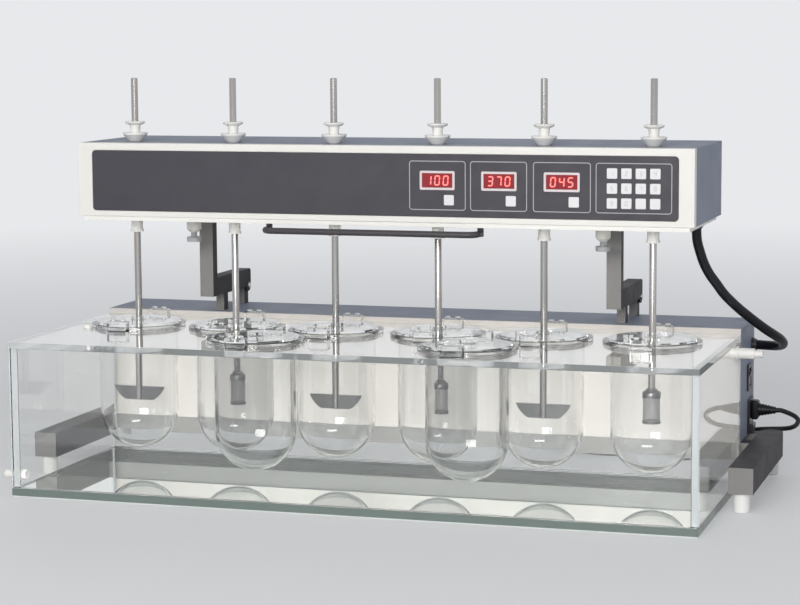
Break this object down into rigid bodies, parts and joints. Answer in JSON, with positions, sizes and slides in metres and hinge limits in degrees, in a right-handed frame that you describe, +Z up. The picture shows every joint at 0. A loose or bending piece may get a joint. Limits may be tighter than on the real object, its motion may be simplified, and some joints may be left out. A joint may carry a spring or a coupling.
{
  "type": "dissolution tester",
  "caption": "Bench dissolution tester: a clear water bath with round-bottomed glass vessels and lids, and a tilting drive head with stirring paddles and baskets.",
  "frame": {"origin": "centre of the bath's flat underside, which rests on the bench", "axes": "+X to the right along the row of stirring shafts, +Y to the back where the rear case is, +Z up along the stirring shafts"},
  "size_m": [1.0313, 0.5958, 0.551],
  "materials": {
    "frame_grey": "satin grey paint",
    "foot_white": "matte white plastic",
    "cover_grey": "fine satin blue-grey paint",
    "panel_white": "satin off-white paint",
    "inner_steel": "brushed",
    "black_plastic": "moulded black plastic",
    "circuit_green": "circuit board lacquer",
    "clear_acrylic": "polished clear acrylic",
    "floor_green": "polished green-grey acrylic plate",
    "vessel_glass": "clear borosilicate glass",
    "white_plastic": "moulded white plastic",
    "head_white": "satin warm white paint",
    "panel_dark": "fine matte printed film",
    "display_red": "tinted window",
    "key_white": "embossed membrane",
    "arm_grey": "satin grey paint",
    "belt_rubber": "moulded toothed rubber",
    "deck_alloy": "milled",
    "knob_grey": "turned grey plastic",
    "hose_black": "glossy black sheath",
    "cord_black": "satin black sheath",
    "hub_plastic": "turned white plastic",
    "shaft_steel": "polished stainless steel",
    "lid_acrylic": "polished clear acrylic"
  },
  "bodies": {
    "root": {"base_frame": "frame_grey", "feet": "foot_white", "case_cover": "cover_grey", "case_front_panel": "panel_white", "heater_unit": "inner_steel", "circulation_pump": "black_plastic", "power_board": "circuit_green", "power_inlet": "black_plastic", "switch_housing": "black_plastic", "tank_floor": "floor_green", "tank_walls": "clear_acrylic", "vessel_plate": "clear_acrylic", "seat_rings": "clear_acrylic", "glass_vessels": "vessel_glass", "vessel_clamps": "clear_acrylic", "tank_fittings": "white_plastic", "hinge_posts": "frame_grey", "hinge_pins": "inner_steel", "conduit": "hose_black", "mains_connector": "cord_black", "mains_cord": "cord_black", "cord_coil": "cord_black", "mains_plug": "cord_black"},
    "head": {"head_cover": "cover_grey", "head_front_frame": "head_white", "head_base": "head_white", "control_panel": "panel_dark", "display_windows": "display_red", "membrane_keys": "key_white", "tilt_arms": "arm_grey", "lift_handle": "arm_grey", "drive_motor": "inner_steel", "drive_belt": "belt_rubber", "shaft_bearings": "inner_steel", "bearing_deck": "deck_alloy", "control_board": "circuit_green"},
    "rocker": {"rocker_switch": "black_plastic"},
    "left_knob": {"left_thumb_knob": "knob_grey"},
    "right_knob": {"right_thumb_knob": "knob_grey"},
    "motor_rotor": {"motor_pulley": "inner_steel"},
    "spindle_1": {"spindle_1": "hub_plastic"},
    "spindle_2": {"spindle_2": "hub_plastic"},
    "spindle_3": {"spindle_3": "hub_plastic"},
    "spindle_4": {"spindle_4": "hub_plastic"},
    "spindle_5": {"spindle_5": "hub_plastic"},
    "spindle_6": {"spindle_6": "hub_plastic"},
    "shaft_1": {"shaft_1": "shaft_steel"},
    "shaft_2": {"shaft_2": "shaft_steel"},
    "shaft_3": {"shaft_3": "shaft_steel"},
    "shaft_4": {"shaft_4": "shaft_steel"},
    "shaft_5": {"shaft_5": "shaft_steel"},
    "shaft_6": {"shaft_6": "shaft_steel"},
    "lid_1": {"lid_1": "lid_acrylic"},
    "lid_2": {"lid_2": "lid_acrylic"},
    "lid_3": {"lid_3": "lid_acrylic"},
    "lid_4": {"lid_4": "lid_acrylic"},
    "lid_5": {"lid_5": "lid_acrylic"},
    "lid_6": {"lid_6": "lid_acrylic"},
    "lid_7": {"lid_7": "lid_acrylic"},
    "lid_8": {"lid_8": "lid_acrylic"}
  },
  "joints": [
    {"name": "head_tilt", "type": "hinge", "parent": "root", "child": "head", "pos_m": [0, 0.2665, 0.242], "axis": [-1, 0, 0], "range_deg": [0, 65], "deforming": ["conduit"]},
    {"name": "rocker_press", "type": "hinge", "parent": "root", "child": "rocker", "pos_m": [0.454, 0.2315, 0.14], "axis": [0, 1, 0], "range_deg": [-18, 0]},
    {"name": "left_knob_turn", "type": "hinge", "parent": "head", "child": "left_knob", "pos_m": [-0.29, 0.0765, 0.331], "axis": [0, 0, 1], "range_deg": [-180, 180]},
    {"name": "right_knob_turn", "type": "hinge", "parent": "head", "child": "right_knob", "pos_m": [0.29, 0.0765, 0.331], "axis": [0, 0, 1], "range_deg": [-180, 180]},
    {"name": "spindle_1_spin", "type": "hinge", "parent": "head", "child": "spindle_1", "pos_m": [-0.3625, 0.0465, 0.428], "axis": [0, 0, 1], "continuous": true},
    {"name": "spindle_2_spin", "type": "hinge", "parent": "head", "child": "spindle_2", "pos_m": [-0.2175, 0.0465, 0.428], "axis": [0, 0, 1], "continuous": true},
    {"name": "spindle_3_spin", "type": "hinge", "parent": "head", "child": "spindle_3", "pos_m": [-0.0725, 0.0465, 0.428], "axis": [0, 0, 1], "continuous": true},
    {"name": "spindle_4_spin", "type": "hinge", "parent": "head", "child": "spindle_4", "pos_m": [0.0725, 0.0465, 0.428], "axis": [0, 0, 1], "continuous": true},
    {"name": "spindle_5_spin", "type": "hinge", "parent": "head", "child": "spindle_5", "pos_m": [0.2175, 0.0465, 0.428], "axis": [0, 0, 1], "continuous": true},
    {"name": "spindle_6_spin", "type": "hinge", "parent": "head", "child": "spindle_6", "pos_m": [0.3625, 0.0465, 0.428], "axis": [0, 0, 1], "continuous": true},
    {"name": "motor_spin", "type": "hinge", "parent": "head", "child": "motor_rotor", "pos_m": [0, 0.0465, 0.428], "axis": [0, 0, 1], "continuous": true},
    {"name": "shaft_1_lift", "type": "slide", "parent": "spindle_1", "child": "shaft_1", "axis": [0, 0, 1], "range_m": [-0.039, 0.055]},
    {"name": "shaft_2_lift", "type": "slide", "parent": "spindle_2", "child": "shaft_2", "axis": [0, 0, 1], "range_m": [-0.039, 0.055]},
    {"name": "shaft_3_lift", "type": "slide", "parent": "spindle_3", "child": "shaft_3", "axis": [0, 0, 1], "range_m": [-0.039, 0.055]},
    {"name": "shaft_4_lift", "type": "slide", "parent": "spindle_4", "child": "shaft_4", "axis": [0, 0, 1], "range_m": [-0.039, 0.055]},
    {"name": "shaft_5_lift", "type": "slide", "parent": "spindle_5", "child": "shaft_5", "axis": [0, 0, 1], "range_m": [-0.039, 0.055]},
    {"name": "shaft_6_lift", "type": "slide", "parent": "spindle_6", "child": "shaft_6", "axis": [0, 0, 1], "range_m": [-0.039, 0.055]},
    {"name": "lid_1_lift", "type": "slide", "parent": "head", "child": "lid_1", "axis": [0, 0, 1], "range_m": [0, 0.085]},
    {"name": "lid_2_lift", "type": "slide", "parent": "head", "child": "lid_2", "axis": [0, 0, 1], "range_m": [0, 0.085]},
    {"name": "lid_3_lift", "type": "slide", "parent": "head", "child": "lid_3", "axis": [0, 0, 1], "range_m": [0, 0.085]},
    {"name": "lid_4_lift", "type": "slide", "parent": "head", "child": "lid_4", "axis": [0, 0, 1], "range_m": [0, 0.085]},
    {"name": "lid_5_lift", "type": "slide", "parent": "head", "child": "lid_5", "axis": [0, 0, 1], "range_m": [0, 0.085]},
    {"name": "lid_6_lift", "type": "slide", "parent": "head", "child": "lid_6", "axis": [0, 0, 1], "range_m": [0, 0.085]},
    {"name": "lid_7_lift", "type": "slide", "parent": "root", "child": "lid_7", "axis": [0, 0, 1], "range_m": [0, 0.1]},
    {"name": "lid_8_lift", "type": "slide", "parent": "root", "child": "lid_8", "axis": [0, 0, 1], "range_m": [0, 0.1]}
  ],
  "couplings": [
    {"joint": "spindle_2_spin", "follows": "spindle_1_spin", "ratio": 1},
    {"joint": "spindle_3_spin", "follows": "spindle_1_spin", "ratio": 1},
    {"joint": "spindle_4_spin", "follows": "spindle_1_spin", "ratio": 1},
    {"joint": "spindle_5_spin", "follows": "spindle_1_spin", "ratio": 1},
    {"joint": "spindle_6_spin", "follows": "spindle_1_spin", "ratio": 1},
    {"joint": "motor_spin", "follows": "spindle_1_spin", "ratio": 1}
  ]
}
